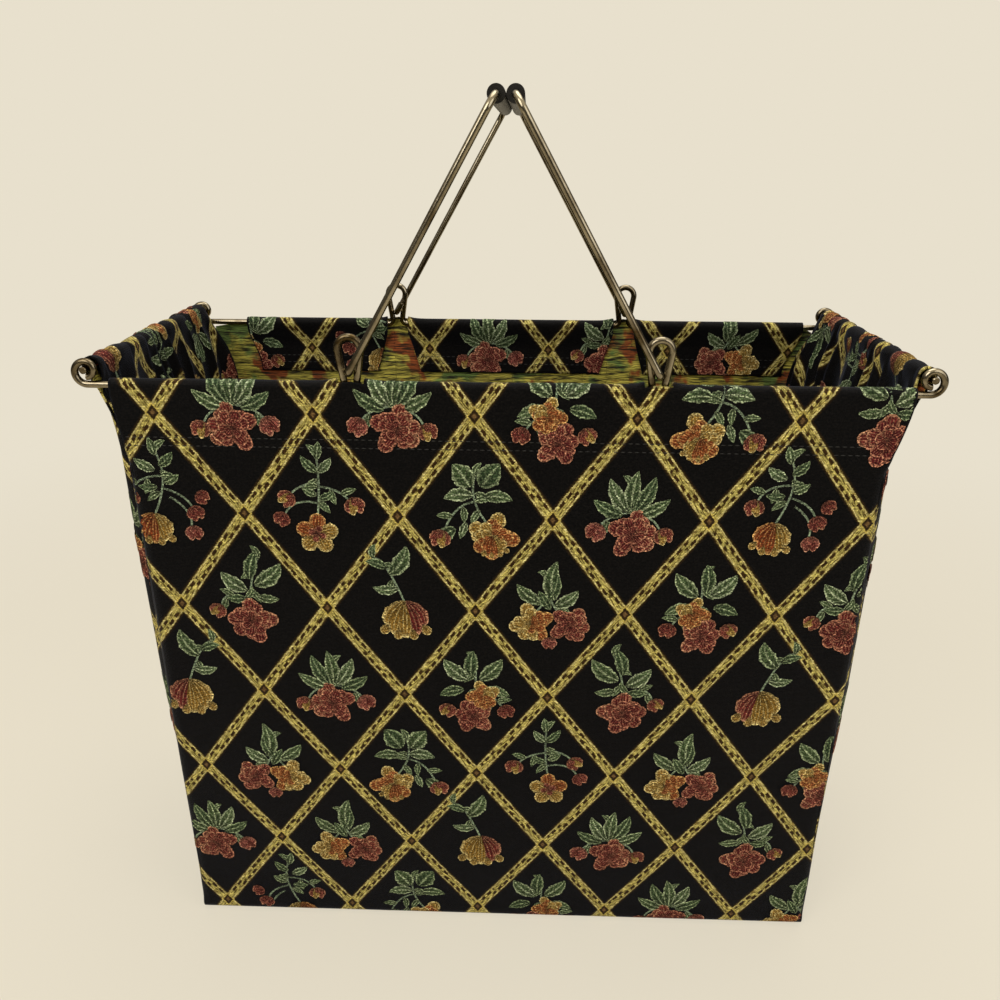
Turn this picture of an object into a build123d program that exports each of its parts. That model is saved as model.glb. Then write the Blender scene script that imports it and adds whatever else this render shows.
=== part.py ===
"""Tapestry knitting bag: an open cloth bag hung on a bent-wire frame with two swinging wire handles.

The frame stands with +Z up and the front panel facing -Y. X runs along the bag's length.
The origin is the middle of the base, on the surface that the bag stands on.
"""

import os
from math import asin, atan2, cos, degrees, hypot, pi, sin, tan

from build123d import *

# Driving dimensions, in millimetres.
# The frame: two rim wires along X, joined at their curled ends by two side wires along Y.
rim_length = 400.0  # between the centres of the curled eyes at the ends of a rim wire
rim_depth = 160.0  # between the centre lines of the front and back rim wires
rim_height = 336.0  # centre line of the rim wires above the floor
wire = 3.5  # diameter of all the frame's wire
wire_clearance = 0.25  # between two wires that run through or on one another

# The raised eyes that the handles hang in, bent from each rim wire.
eye_spread = 146.0  # between the two eyes of one rim wire
eye_radius = 5.4  # centre line of the round top of an eye
eye_rise = 18.85  # centre of that round top above the rim wire
eye_neck = 5.2  # between the two strands where they leave the rim wire
eye_foot_radius = 3.0  # bend from the rim wire up into a strand

# The curls that close the ends of the rim wires.
curl_radius = 5.55  # outer half turn of a curl, centre line

# The handles: wire bails with hooked ends, each with a plastic sleeve on its grip.
leg_length = 138.0  # from the hook's axis to the middle of the grip
leg_clearance = 0.8  # between a leg and the hem that it swings past
hook_width = 12.0  # across a hook, from the leg to the upturned tip
hook_radius = 3.0
tip_length = 7.0
grip_bend_radius = 8.0
sleeve_diameter = 8.0
sleeve_length = 155.0
sleeve_clearance = 0.1
grip_gap = 0.3  # between the two sleeves that lean together

# The cloth: one strip makes the front, base and back, and a gusset closes each end.
cloth = 1.5
panel_length = 366.0  # the strip from seam to seam
hem_length = 380.0  # the strip along the rim, where its hem is pulled out over the wire
hem_depth = 32.0  # from the rim wire down to the end of the turned-in hem
casing_clearance = 0.2  # between a wire and the hem round it
casing_drop = 12.0  # height over which the casing narrows to two flat layers
fold_radius = 5.0  # outside of the fold between a panel and the base
slit_margin = 0.6
slit_flare = 7.5  # by which the slit in the turned-in hem widens towards its lower end
overrun = 5.0  # by which a cut reaches past what it cuts

# The gathers of the gussets on the side wires.
gather_count = 9
gather_fold = 3.0  # depth of a gathered fold at the side wire
gather_depth = 5.0  # depth of the same fold below the casing
gusset_fullness = 9.0  # by which a gusset stands out beyond its seams, half way down
gusset_gap = 8.0  # from the middle of a rim wire to the end of the gathered hem
gusset_draw = 4.0  # by which the gusset is drawn in below its hem

# The stiff board that lies loose on the base.
board_thickness = 3.0
board_clearance = 0.6
board_corner_radius = 6.0

# Places worked out from the sizes above.
half_length = rim_length / 2
half_depth = rim_depth / 2
eye_x = eye_spread / 2
casing_radius = wire / 2 + casing_clearance + cloth
panel_outer = half_depth + casing_radius
panel_inner = panel_outer - cloth
facing_inner = panel_inner - cloth
hem_bottom = rim_height - hem_depth

# Each strand of an eye is a line tangent to its round top. Their lean gives the height at which
# a hook of the same wire lies between the two strands.
eye_reach = hypot(eye_rise, eye_neck / 2)
strand_lean = asin(eye_radius / eye_reach) - atan2(eye_neck / 2, eye_rise)
strand_apex = -eye_neck / 2 / tan(strand_lean)
hook_height = rim_height + strand_apex + (wire + wire_clearance) / sin(strand_lean)

# The inner half turn of a curl ends on top of the rim wire, and the side wire runs through it.
curl_inner_radius = curl_radius - (wire + wire_clearance) / 2
side_height = rim_height + 2 * curl_radius - curl_inner_radius

leg_plane = panel_outer + leg_clearance + wire / 2
tip_plane = leg_plane - hook_width
sleeve_radius = sleeve_diameter / 2
lean = asin((eye_x - sleeve_radius - grip_gap / 2) / leg_length)

os.makedirs("parts", exist_ok=True)

# Front rim wire: half of it is swept outwards from the middle, through the raised eye and round
# the curl at its end, and then mirrored.
with BuildPart() as front_rim_wire:
    ring_centre = rim_height + eye_rise
    strand_x = eye_radius * cos(strand_lean)
    strand_top = ring_centre - eye_radius * sin(strand_lean)
    curl_top = rim_height + 2 * curl_radius
    with BuildLine(Plane.XZ.offset(half_depth)) as rim_path:
        near_strand = FilletPolyline(
            (0, rim_height),
            (eye_x - eye_neck / 2, rim_height),
            (eye_x - strand_x, strand_top),
            radius=eye_foot_radius,
        )
        ring = ThreePointArc(
            (eye_x - strand_x, strand_top),
            (eye_x, ring_centre + eye_radius),
            (eye_x + strand_x, strand_top),
        )
        far_strand = FilletPolyline(
            (eye_x + strand_x, strand_top),
            (eye_x + eye_neck / 2, rim_height),
            (half_length, rim_height),
            radius=eye_foot_radius,
        )
        outer_curl = ThreePointArc(
            (half_length, rim_height),
            (half_length + curl_radius, rim_height + curl_radius),
            (half_length, curl_top),
        )
        inner_curl = ThreePointArc(
            (half_length, curl_top),
            (half_length - curl_inner_radius, curl_top - curl_inner_radius),
            (half_length, curl_top - 2 * curl_inner_radius),
        )
    with BuildSketch(Plane.YZ):
        with Locations((-half_depth, rim_height)):
            Circle(wire / 2)
    sweep(path=rim_path.wire())
    mirror(about=Plane.YZ)
front_rim_wire.part.label = "front_rim_wire"
export_step(front_rim_wire.part, "parts/front_rim_wire.step")

with BuildPart() as back_rim_wire:
    mirror(front_rim_wire.part, about=Plane.XZ)
back_rim_wire.part.label = "back_rim_wire"
export_step(back_rim_wire.part, "parts/back_rim_wire.step")

# Side wires: straight rods through the curls, just proud of them and rounded at their ends.
rod_length = rim_depth + 2 * wire
with BuildPart() as right_side_wire:
    with BuildSketch(Plane.XZ.offset(rod_length / 2)):
        with Locations((half_length, side_height)):
            Circle(wire / 2)
    extrude(amount=-rod_length)
    chamfer(right_side_wire.edges().filter_by(GeomType.CIRCLE), length=wire / 8)
right_side_wire.part.label = "right_side_wire"
export_step(right_side_wire.part, "parts/right_side_wire.step")

with BuildPart() as left_side_wire:
    mirror(right_side_wire.part, about=Plane.YZ)
left_side_wire.part.label = "left_side_wire"
export_step(left_side_wire.part, "parts/left_side_wire.step")

# Body cloth: one strip that runs down the front, under the base and up the back. Each end is
# turned in over its rim wire and sewn down as a second layer.
with BuildPart() as body_cloth:
    with BuildSketch(Plane.YZ):
        with BuildLine():
            Line((0, 0), (panel_outer - fold_radius, 0))
            RadiusArc((panel_outer - fold_radius, 0), (panel_outer, fold_radius), -fold_radius)
            Line((panel_outer, fold_radius), (panel_outer, rim_height))
            ThreePointArc(
                (panel_outer, rim_height),
                (half_depth, rim_height + casing_radius),
                (half_depth - casing_radius, rim_height),
            )
            Polyline(
                (half_depth - casing_radius, rim_height),
                (facing_inner, rim_height - casing_drop),
                (facing_inner, hem_bottom),
                (panel_inner, hem_bottom),
                (panel_inner, fold_radius),
            )
            RadiusArc((panel_inner, fold_radius), (panel_outer - fold_radius, cloth), fold_radius - cloth)
            Line((panel_outer - fold_radius, cloth), (0, cloth))
            Line((0, cloth), (0, 0))
        make_face()
        mirror(about=Plane.YZ)
        with Locations((-half_depth, rim_height), (half_depth, rim_height)):
            Circle(wire / 2 + casing_clearance, mode=Mode.SUBTRACT)
    extrude(amount=hem_length / 2, both=True)
    # the strip is straight from the base to the hem, and the hem is pulled out along the rim
    with BuildSketch(Plane.XZ.offset(panel_outer + overrun)):
        with BuildLine():
            Polyline(
                (0, -overrun),
                (panel_length / 2, -overrun),
                (panel_length / 2, hem_bottom),
                (hem_length / 2, rim_height),
                (hem_length / 2, rim_height + casing_radius + overrun),
                (0, rim_height + casing_radius + overrun),
                close=True,
            )
        make_face()
        mirror(about=Plane.YZ)
    extrude(amount=-2 * (panel_outer + overrun), mode=Mode.INTERSECT)
    # a slit over each raised eye, which widens downwards through the turned-in layer
    slit_half = eye_neck / 2 + eye_foot_radius * tan((pi / 2 + strand_lean) / 2) + slit_margin
    slit_reach = casing_radius + overrun
    for side in (-1, 1):
        face_plane = Plane.XZ.offset(-side * (half_depth - slit_reach))
        with BuildSketch(face_plane):
            with Locations((-eye_x, rim_height), (eye_x, rim_height)):
                Rectangle(2 * slit_half, slit_reach, align=(Align.CENTER, Align.MIN))
        extrude(amount=-side * 2 * slit_reach, mode=Mode.SUBTRACT)
        with BuildSketch(face_plane):
            for x in (-eye_x, eye_x):
                with BuildLine():
                    Polyline(
                        (x - slit_half, rim_height),
                        (x + slit_half, rim_height),
                        (x + slit_half + slit_flare, hem_bottom),
                        (x - slit_half - slit_flare, hem_bottom),
                        close=True,
                    )
                make_face()
        extrude(amount=-side * (panel_inner - half_depth + slit_reach), mode=Mode.SUBTRACT)
body_cloth.part.label = "body_cloth"
export_step(body_cloth.part, "parts/body_cloth.step")


def gusset_line(end_x, end_y, middle_x, fold, offset):
    """Give the points of one side of a gusset's plan section, bowed out and folded."""
    points = []
    steps = 2 * gather_count
    for step in range(steps + 1):
        along = 2 * step / steps - 1
        bow = (middle_x - end_x) * (1 - along**4)
        wave = 0 if step in (0, steps) else fold / 2 * (-1) ** step
        points.append((end_x + bow + wave + offset, along * end_y))
    return points


# Gussets: gathered on the side wires at the top, smooth and sewn to the strip below. Each section
# gives a height, the end of the cloth there, the middle's reach, the fold and the thickness.
seam_x = panel_length / 2 - cloth
hem_end_y = half_depth - gusset_gap
casing_thickness = 2 * casing_radius + gather_fold
under_casing = side_height - casing_drop
drawn_in = half_length - gusset_draw
hem_sections = [
    (side_height + casing_radius, half_length, hem_end_y, half_length, gather_fold, 2 * cloth),
    (side_height, half_length, hem_end_y, half_length, gather_fold, casing_thickness),
    (under_casing, half_length - cloth, hem_end_y, half_length - cloth, gather_depth, 3 * cloth),
    (under_casing - casing_drop, drawn_in - cloth, hem_end_y, drawn_in, gather_depth, 2 * cloth),
]
panel_sections = [
    (hem_bottom - 2 * cloth, seam_x, panel_inner, drawn_in, gather_fold, cloth),
    (rim_height / 2, seam_x, panel_inner, seam_x + gusset_fullness, cloth / 2, cloth),
    (fold_radius, seam_x, panel_inner, seam_x + cloth, cloth / 4, cloth),
    (cloth, seam_x, panel_outer - fold_radius, seam_x + cloth / 2, cloth / 4, cloth),
]
with BuildPart() as right_gusset:
    for level, end_x, end_y, middle_x, fold, thickness in hem_sections + panel_sections:
        with BuildSketch(Plane.XY.offset(level)):
            with BuildLine():
                outer = Polyline(*gusset_line(end_x, end_y, middle_x, fold, thickness / 2))
                inner = Polyline(*gusset_line(end_x, end_y, middle_x, fold, -thickness / 2))
                Line(outer @ 0, inner @ 0)
                Line(outer @ 1, inner @ 1)
            make_face()
    loft(ruled=True)
    with BuildSketch(Plane.XZ.offset(half_depth)):
        with Locations((half_length, side_height)):
            Circle(wire / 2 + casing_clearance)
    extrude(amount=-rim_depth, mode=Mode.SUBTRACT)
right_gusset.part.label = "right_gusset"
export_step(right_gusset.part, "parts/right_gusset.step")

with BuildPart() as left_gusset:
    mirror(right_gusset.part, about=Plane.YZ)
left_gusset.part.label = "left_gusset"
export_step(left_gusset.part, "parts/left_gusset.step")

# Base board: lies flat on the strip between its two bottom folds.
with BuildPart() as base_board:
    with BuildSketch(Plane.XY.offset(cloth)):
        board_length = 2 * (seam_x - cloth / 2 - board_clearance)
        board_depth = 2 * (panel_outer - fold_radius)
        RectangleRounded(board_length, board_depth, board_corner_radius)
    extrude(amount=board_thickness)
base_board.part.label = "base_board"
export_step(base_board.part, "parts/base_board.step")

# Left handle: drawn in its own leaning plane, from one upturned tip through the hook, up the leg,
# across the grip and back down to the other tip.
lean_plane = Plane(
    origin=(-eye_x, 0, hook_height),
    x_dir=(0, 1, 0),
    z_dir=(cos(lean), 0, -sin(lean)),
)
with BuildPart() as left_handle_wire:
    with BuildLine(lean_plane) as bail_path:
        FilletPolyline(
            (-tip_plane, tip_length),
            (-tip_plane, 0),
            (-leg_plane, 0),
            (-leg_plane, leg_length),
            (leg_plane, leg_length),
            (leg_plane, 0),
            (tip_plane, 0),
            (tip_plane, tip_length),
            radius=[hook_radius, hook_radius, grip_bend_radius, grip_bend_radius, hook_radius, hook_radius],
        )
    bail_start = Plane(origin=bail_path.line @ 0, z_dir=bail_path.line % 0)
    with BuildSketch(bail_start):
        Circle(wire / 2)
    sweep(path=bail_path.wire())
left_handle_wire.part.label = "left_handle_wire"
export_step(left_handle_wire.part, "parts/left_handle_wire.step")

with BuildPart() as right_handle_wire:
    mirror(left_handle_wire.part, about=Plane.YZ)
right_handle_wire.part.label = "right_handle_wire"
export_step(right_handle_wire.part, "parts/right_handle_wire.step")

# Grip sleeves: plastic tubes on the straight of each grip.
grip_x = eye_x - leg_length * sin(lean)
grip_height = hook_height + leg_length * cos(lean)
with BuildPart() as left_grip_sleeve:
    with BuildSketch(Plane.XZ.offset(sleeve_length / 2)):
        with Locations((-grip_x, grip_height)):
            Circle(sleeve_radius)
            Circle(wire / 2 + sleeve_clearance, mode=Mode.SUBTRACT)
    extrude(amount=-sleeve_length)
left_grip_sleeve.part.label = "left_grip_sleeve"
export_step(left_grip_sleeve.part, "parts/left_grip_sleeve.step")

with BuildPart() as right_grip_sleeve:
    mirror(left_grip_sleeve.part, about=Plane.YZ)
right_grip_sleeve.part.label = "right_grip_sleeve"
export_step(right_grip_sleeve.part, "parts/right_grip_sleeve.step")

print("handle axis x", eye_x, "z", round(hook_height, 3), "lean", round(degrees(lean), 3))
print("side wire z", round(side_height, 3), "grip z", round(grip_height, 3))
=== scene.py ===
import math

import bpy
import numpy as np
from mathutils import Matrix, Vector


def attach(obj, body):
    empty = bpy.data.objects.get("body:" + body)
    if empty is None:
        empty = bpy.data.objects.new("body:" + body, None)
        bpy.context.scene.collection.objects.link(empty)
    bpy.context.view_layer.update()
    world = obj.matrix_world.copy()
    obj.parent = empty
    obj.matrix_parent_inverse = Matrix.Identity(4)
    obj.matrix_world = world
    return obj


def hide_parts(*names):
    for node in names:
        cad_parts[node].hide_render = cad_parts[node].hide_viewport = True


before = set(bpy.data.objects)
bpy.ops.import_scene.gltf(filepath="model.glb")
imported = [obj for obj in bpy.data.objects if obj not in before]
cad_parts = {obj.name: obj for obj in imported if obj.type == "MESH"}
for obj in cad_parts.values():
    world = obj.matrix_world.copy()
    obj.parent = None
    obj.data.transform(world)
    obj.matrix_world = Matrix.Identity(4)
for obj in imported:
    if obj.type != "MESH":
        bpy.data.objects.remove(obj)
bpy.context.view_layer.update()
bpy.ops.object.select_all(action="DESELECT")


# The frame is bent from round steel wire, nickel plated once and now worn to a warm,
# brownish shine. Two rim wires with eyes carry the side wires and the two hooked handles.
def dye(code):
    """A colour in linear light from its sRGB hex value."""
    parts = [int(code[i : i + 2], 16) / 255 for i in (1, 3, 5)]
    return [p / 12.92 if p <= 0.04045 else ((p + 0.055) / 1.055) ** 2.4 for p in parts] + [1.0]


def node(material, kind, sockets, **settings):
    """Adds a node, sets it, and fills or links its sockets; a node links by its first output in use."""
    made = material.node_tree.nodes.new("ShaderNode" + kind)
    for name, value in settings.items():
        setattr(made, name, value)
    for name, value in sockets.items():
        if isinstance(value, bpy.types.Node):
            value = next(output for output in value.outputs if output.enabled)
        if isinstance(value, bpy.types.NodeSocket):
            material.node_tree.links.new(value, made.inputs[name])
        else:
            made.inputs[name].default_value = value
    return made


def coat(names, material):
    """Gives solids of the frame one material."""
    for name in names:
        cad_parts[name].data.materials.clear()
        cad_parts[name].data.materials.append(material)


def bare_material(name):
    """A material with nothing in it yet."""
    material = bpy.data.materials.new(name)
    material.use_nodes = True
    material.node_tree.nodes.clear()
    return material


# Worn nickel plate: a polished metal whose plating is thin, so broad brown patches dull it.
# Tarnish patches are about 22 mm long and the drawn wire's fine marks about 0.9 mm.
nickel = bare_material("worn_nickel_plate")
place = node(nickel, "TexCoord", {}).outputs["Object"]
patches = node(nickel, "TexNoise", {"Vector": place, "Scale": 45.0, "Detail": 5.0, "Roughness": 0.62})
marks = node(nickel, "TexNoise", {"Vector": place, "Scale": 1100.0, "Detail": 2.0})
tarnish = node(nickel, "MapRange", {"Value": patches, "From Min": 0.42, "From Max": 0.66})
tone = node(nickel, "Mix", {"Factor": tarnish, "A": dye("#8F8672"), "B": dye("#453821")}, data_type="RGBA")
dullness = node(nickel, "MapRange", {"Value": patches, "From Min": 0.35, "From Max": 0.7, "To Min": 0.1, "To Max": 0.3})
scratch = node(nickel, "Bump", {"Height": marks, "Strength": 0.12, "Distance": 0.0002})
plate = node(nickel, "BsdfPrincipled", {"Base Color": tone, "Metallic": 1.0, "Roughness": dullness, "Normal": scratch})
node(nickel, "OutputMaterial", {"Surface": plate})
coat(("front_rim_wire", "back_rim_wire", "left_side_wire", "right_side_wire"), nickel)
coat(("left_handle_wire", "right_handle_wire"), nickel)


# Each grip is a black plastic sleeve, extruded as tube and pushed over the top bar of its
# handle. Handling has polished it, and it carries faint lines along its length.
sleeve_plastic = bare_material("extruded_black_plastic")
place = node(sleeve_plastic, "TexCoord", {}).outputs["Object"]
long_lines = node(sleeve_plastic, "Mapping", {"Vector": place, "Scale": (900.0, 18.0, 900.0)})
lines = node(sleeve_plastic, "TexNoise", {"Vector": long_lines, "Scale": 1.0, "Detail": 3.0})
wear = node(sleeve_plastic, "TexNoise", {"Vector": place, "Scale": 60.0, "Detail": 4.0})
tone = node(sleeve_plastic, "Mix", {"Factor": wear, "A": dye("#070605"), "B": dye("#14100C")}, data_type="RGBA")
dullness = node(sleeve_plastic, "MapRange", {"Value": wear, "To Min": 0.2, "To Max": 0.45})
draw_marks = node(sleeve_plastic, "Bump", {"Height": lines, "Strength": 0.15, "Distance": 0.0003})
plastic = node(
    sleeve_plastic,
    "BsdfPrincipled",
    {
        "Base Color": tone,
        "Roughness": dullness,
        "IOR": 1.53,
        "Normal": draw_marks,
    },
)
node(sleeve_plastic, "OutputMaterial", {"Surface": plastic})
coat(("left_grip_sleeve", "right_grip_sleeve"), sleeve_plastic)


# The base board is pressed fibre board laid loose on the cloth, to keep the bottom flat.
# It is dull and brown, with matted fibres about 2 mm long.
fibre_board = bare_material("pressed_fibre_board")
place = node(fibre_board, "TexCoord", {}).outputs["Object"]
fibres = node(fibre_board, "TexNoise", {"Vector": place, "Scale": 480.0, "Detail": 6.0, "Distortion": 1.5})
mottle = node(fibre_board, "TexNoise", {"Vector": place, "Scale": 40.0, "Detail": 3.0})
grain = node(fibre_board, "Mix", {"Factor": fibres, "A": dye("#4F3822"), "B": dye("#8A6A48")}, data_type="RGBA")
tone = node(fibre_board, "Mix", {"Factor": mottle, "A": grain, "B": dye("#6B4F33")}, data_type="RGBA")
felt = node(fibre_board, "Bump", {"Height": fibres, "Strength": 0.35, "Distance": 0.0006})
board = node(fibre_board, "BsdfPrincipled", {"Base Color": tone, "Roughness": 0.82, "Normal": felt})
node(fibre_board, "OutputMaterial", {"Surface": board})
coat(("base_board",), fibre_board)


# The tapestry is a jacquard cotton: black ground, a gold trellis of braided bands, and one
# flower sprig in each diamond. Sizes are in mm, and are those of the woven pattern.
diamond_width = 77.7
diamond_height = 104.8
knot_x = -13.9
knot_height = 323.4
band_pitch = diamond_width * diamond_height / math.hypot(diamond_width, diamond_height)
band_run = math.hypot(diamond_width, diamond_height) / 2
band_half = 2.6
band_softness = 0.5
fringe_start = 2.9
fringe_end = 4.3
edge_line = 2.3
dash_row = 1.2
dash_pitch = 5.8
band_wobble = 0.6
strand_stretch = 0.2
twists_per_side = 2.0

tapestry = bare_material("jacquard_tapestry_face")
cloth_place = node(tapestry, "Attribute", {}, attribute_name="cloth").outputs["Vector"]
across_up = node(tapestry, "SeparateXYZ", {"Vector": cloth_place})
across = node(tapestry, "Math", {0: across_up.outputs["X"], 1: diamond_width}, operation="DIVIDE")
rise = node(tapestry, "Math", {0: across_up.outputs["Y"], 1: diamond_height}, operation="DIVIDE")
slant_up = node(tapestry, "Math", {0: across, 1: rise}, operation="ADD")
slant_down = node(tapestry, "Math", {0: across, 1: rise}, operation="SUBTRACT")
wobble = node(tapestry, "TexNoise", {"Vector": cloth_place, "Scale": 0.9, "Detail": 2.0})
directions = []
for crosses, runs in ((slant_up, slant_down), (slant_down, slant_up)):
    nearest = node(tapestry, "Math", {0: crosses}, operation="ROUND")
    step = node(tapestry, "Math", {0: crosses, 1: nearest}, operation="SUBTRACT")
    off = node(tapestry, "Math", {0: step, 1: band_pitch}, operation="MULTIPLY")
    rough = node(tapestry, "MapRange", {"Value": wobble, "To Min": -band_wobble, "To Max": band_wobble})
    ragged = node(tapestry, "Math", {0: off, 1: rough}, operation="ADD")
    far = node(tapestry, "Math", {0: ragged}, operation="ABSOLUTE")
    strand = node(tapestry, "Math", {0: runs, 1: strand_stretch * band_run}, operation="MULTIPLY")
    thread_place = node(tapestry, "CombineXYZ", {"X": off, "Y": strand})
    side = node(tapestry, "Math", {0: ragged, 1: 0.0}, operation="GREATER_THAN")
    half_step = node(tapestry, "Math", {0: side, 1: 0.5}, operation="MULTIPLY")
    along = node(tapestry, "Math", {0: runs, 1: band_run / dash_pitch, 2: half_step}, operation="MULTIPLY_ADD")
    beat = node(tapestry, "Math", {0: along}, operation="FRACT")
    turned = node(tapestry, "Math", {0: runs, 1: twists_per_side, 2: half_step}, operation="MULTIPLY_ADD")
    wound = node(tapestry, "Math", {0: turned, 1: 2 * math.pi}, operation="MULTIPLY")
    wave = node(tapestry, "Math", {0: wound}, operation="SINE")
    on_top = node(tapestry, "MapRange", {"Value": wave, "From Min": -0.5, "From Max": -0.2})
    gaps = []
    for measured, line in ((far, edge_line), (beat, 0.5), (far, dash_row)):
        from_line = node(tapestry, "Math", {0: measured, 1: line}, operation="SUBTRACT")
        gaps.append(node(tapestry, "Math", {0: from_line}, operation="ABSOLUTE"))
    band = {"far": far}
    band["streak"] = node(tapestry, "TexNoise", {"Vector": thread_place, "Scale": 1.3, "Detail": 1.5})
    # Each mark is whole up to its first distance and gone at its second.
    for mark, gap, whole, gone, most in (
        ("gold", far, band_half, band_half + band_softness, 1.0),
        ("fringe", far, fringe_start, fringe_end, 0.8),
        ("edge", gaps[0], 0.25, 0.55, 1.0),
        ("dash_length", gaps[1], 0.29, 0.36, 1.0),
        ("dash_width", gaps[2], 0.7, 0.98, 1.0),
    ):
        fades = {"Value": gap, "From Min": whole, "From Max": gone, "To Min": most, "To Max": 0.0}
        band[mark] = node(tapestry, "MapRange", fades)
    one_dash = node(tapestry, "Math", {0: band["dash_length"], 1: band["dash_width"]}, operation="MULTIPLY")
    band["dash"] = node(tapestry, "Math", {0: one_dash, 1: on_top}, operation="MULTIPLY")
    directions.append(band)
from_knot, any_gold, any_fringe, any_edge, any_dash = (
    node(tapestry, "Math", {0: directions[0][mark], 1: directions[1][mark]}, operation="MAXIMUM")
    for mark in ("far", "gold", "fringe", "edge", "dash")
)
clear_of_knot = node(tapestry, "MapRange", {"Value": from_knot, "From Min": 4.6, "From Max": 6.2})
dashes = node(tapestry, "Math", {0: any_dash, 1: clear_of_knot}, operation="MULTIPLY")
knots = []
for whole, gone in ((3.0, 3.4), (2.2, 2.6), (0.7, 1.3)):
    fades = {"Value": from_knot, "From Min": whole, "From Max": gone, "To Min": 1.0, "To Max": 0.0}
    knots.append(node(tapestry, "MapRange", fades))
knot_rim, knot_dark, knot_heart = knots

# Weft floats are really 0.4 mm apart and are drawn 0.8 mm apart, so that they show.
weft = node(
    tapestry,
    "TexBrick",
    {
        "Vector": cloth_place,
        "Color1": (1.45, 1.45, 1.45, 1.0),
        "Color2": (0.5, 0.5, 0.5, 1.0),
        "Mortar": (0.3, 0.3, 0.3, 1.0),
        "Scale": 1.0,
        "Mortar Size": 0.12,
        "Mortar Smooth": 0.5,
        "Brick Width": 1.8,
        "Row Height": 0.8,
    },
)
grain = node(tapestry, "MapRange", {"Value": wobble, "From Min": 0.35, "From Max": 0.7})
ground = node(tapestry, "Mix", {"Factor": grain, "A": dye("#020203"), "B": dye("#100E0D")}, data_type="RGBA")
streaks = [band["streak"] for band in directions]
streak = node(tapestry, "Mix", {"Factor": directions[1]["gold"], "A": streaks[0], "B": streaks[1]})
gilt = node(tapestry, "MapRange", {"Value": streak, "From Min": 0.36, "From Max": 0.62})
gold, pale_edge = (
    node(tapestry, "Mix", {"Factor": gilt, "A": dye(dark), "B": dye(light)}, data_type="RGBA")
    for dark, light in (("#54431A", "#D4C670"), ("#8A743A", "#D8CC8A"))
)
woven = ground
for cover, colour in (
    (any_fringe, dye("#38280F")),
    (any_gold, gold),
    (any_edge, pale_edge),
    (dashes, dye("#35230C")),
    (knot_rim, dye("#BFAB58")),
    (knot_dark, dye("#2E200F")),
    (knot_heart, dye("#6E5431")),
):
    woven = node(tapestry, "Mix", {"Factor": cover, "A": woven, "B": colour}, data_type="RGBA")
threads = node(tapestry, "Mix", {"Factor": 0.85, "A": woven, "B": weft}, data_type="RGBA", blend_type="MULTIPLY")
relief = node(tapestry, "Math", {0: any_gold, 1: 0.8, 2: weft.outputs["Fac"]}, operation="MULTIPLY_ADD")
pile = node(tapestry, "Bump", {"Height": relief, "Strength": 0.5, "Distance": 0.0004})
cotton = node(
    tapestry,
    "BsdfPrincipled",
    {
        "Base Color": threads,
        "Roughness": 0.62,
        "Specular IOR Level": 0.06,
        "Sheen Weight": 0.12,
        "Sheen Roughness": 0.35,
        "Sheen Tint": dye("#A9B4D8"),
        "Normal": pile,
    },
)
node(tapestry, "OutputMaterial", {"Surface": cotton})

# The back of the same weave: the coloured wefts that the face doesn't need float across it,
# mostly yellow and olive, with red and green where a sprig is on the other side.
tapestry_back = bare_material("jacquard_tapestry_back")
cloth_place = node(tapestry_back, "Attribute", {}, attribute_name="cloth").outputs["Vector"]
stretched = node(tapestry_back, "Mapping", {"Vector": cloth_place, "Scale": (0.11, 1.0, 1.0)})
floats = node(tapestry_back, "TexNoise", {"Vector": stretched, "Scale": 0.6, "Detail": 3.0, "Roughness": 0.6})
slack = node(tapestry_back, "TexNoise", {"Vector": cloth_place, "Scale": 0.12, "Detail": 2.0})
sag = node(tapestry_back, "VectorMath", {0: slack.outputs["Color"], 1: (0.0, 5.0, 0.0)}, operation="MULTIPLY")
slung = node(tapestry_back, "VectorMath", {0: cloth_place, 1: sag}, operation="ADD")
rows = node(
    tapestry_back,
    "TexBrick",
    {
        "Vector": slung,
        "Color1": (1.25, 1.25, 1.25, 1.0),
        "Color2": (0.6, 0.6, 0.6, 1.0),
        "Mortar": (0.16, 0.16, 0.16, 1.0),
        "Scale": 1.0,
        "Mortar Size": 0.26,
        "Mortar Smooth": 1.0,
        "Brick Width": 31.0,
        "Row Height": 1.6,
    },
)
patches = node(tapestry_back, "TexNoise", {"Vector": cloth_place, "Scale": 0.05, "Detail": 3.0})
clumps = node(tapestry_back, "Mapping", {"Vector": cloth_place, "Location": (40.0, 90.0, 0.0)})
sprays = node(tapestry_back, "TexNoise", {"Vector": clumps, "Scale": 0.045, "Detail": 3.0})
yellow = node(tapestry_back, "Mix", {"Factor": floats, "A": dye("#807A26"), "B": dye("#D6C85C")}, data_type="RGBA")
wefts = yellow
reds = (patches, 0.53, 0.59, 0.9, "#94381C")
greens = (sprays, 0.53, 0.6, 0.85, "#5C8044")
for where, start, end, most, colour in (reds, greens):
    spread = {"Value": where, "From Min": start, "From Max": end, "To Max": most}
    cover = node(tapestry_back, "MapRange", spread)
    wefts = node(tapestry_back, "Mix", {"Factor": cover, "A": wefts, "B": dye(colour)}, data_type="RGBA")
gaps = node(tapestry_back, "MapRange", {"Value": floats, "From Min": 0.38, "From Max": 0.54})
dark_gaps = node(tapestry_back, "Mix", {"Factor": gaps, "A": dye("#1B190C"), "B": wefts}, data_type="RGBA")
in_rows = node(
    tapestry_back,
    "Mix",
    {"Factor": 0.85, "A": dark_gaps, "B": rows},
    data_type="RGBA",
    blend_type="MULTIPLY",
)
loose = node(tapestry_back, "Bump", {"Height": rows, "Strength": 0.7, "Distance": 0.0008})
back_cotton = node(
    tapestry_back,
    "BsdfPrincipled",
    {
        "Base Color": in_rows,
        "Roughness": 0.75,
        "Specular IOR Level": 0.3,
        "Normal": loose,
    },
)
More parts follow.
